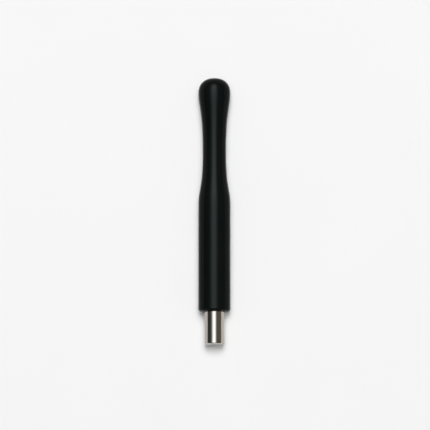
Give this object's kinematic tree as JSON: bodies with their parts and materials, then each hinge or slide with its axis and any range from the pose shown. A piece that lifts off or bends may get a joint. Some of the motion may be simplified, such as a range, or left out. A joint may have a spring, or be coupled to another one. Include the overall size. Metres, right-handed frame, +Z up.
{
  "type": "clay shaper tool",
  "caption": "Hand tool for shaping soft clay: waisted soft-grip handle with a rounded bulb end and a flat-ended polished steel cylinder.",
  "frame": {"origin": "on the supporting surface, under the middle of the tool's length, with the tool lying on its barrel", "axes": "+Y along the tool's axis from the flat steel tip towards the bulb, +Z up, +X across the tool"},
  "size_m": [0.013, 0.109, 0.013],
  "materials": {
    "soft_skin": "satin",
    "rigid_core": "matte",
    "polished_steel": "polished"
  },
  "bodies": {
    "root": {"grip_sleeve": "soft_skin", "handle_core": "rigid_core", "tip": "polished_steel"}
  },
  "joints": []
}
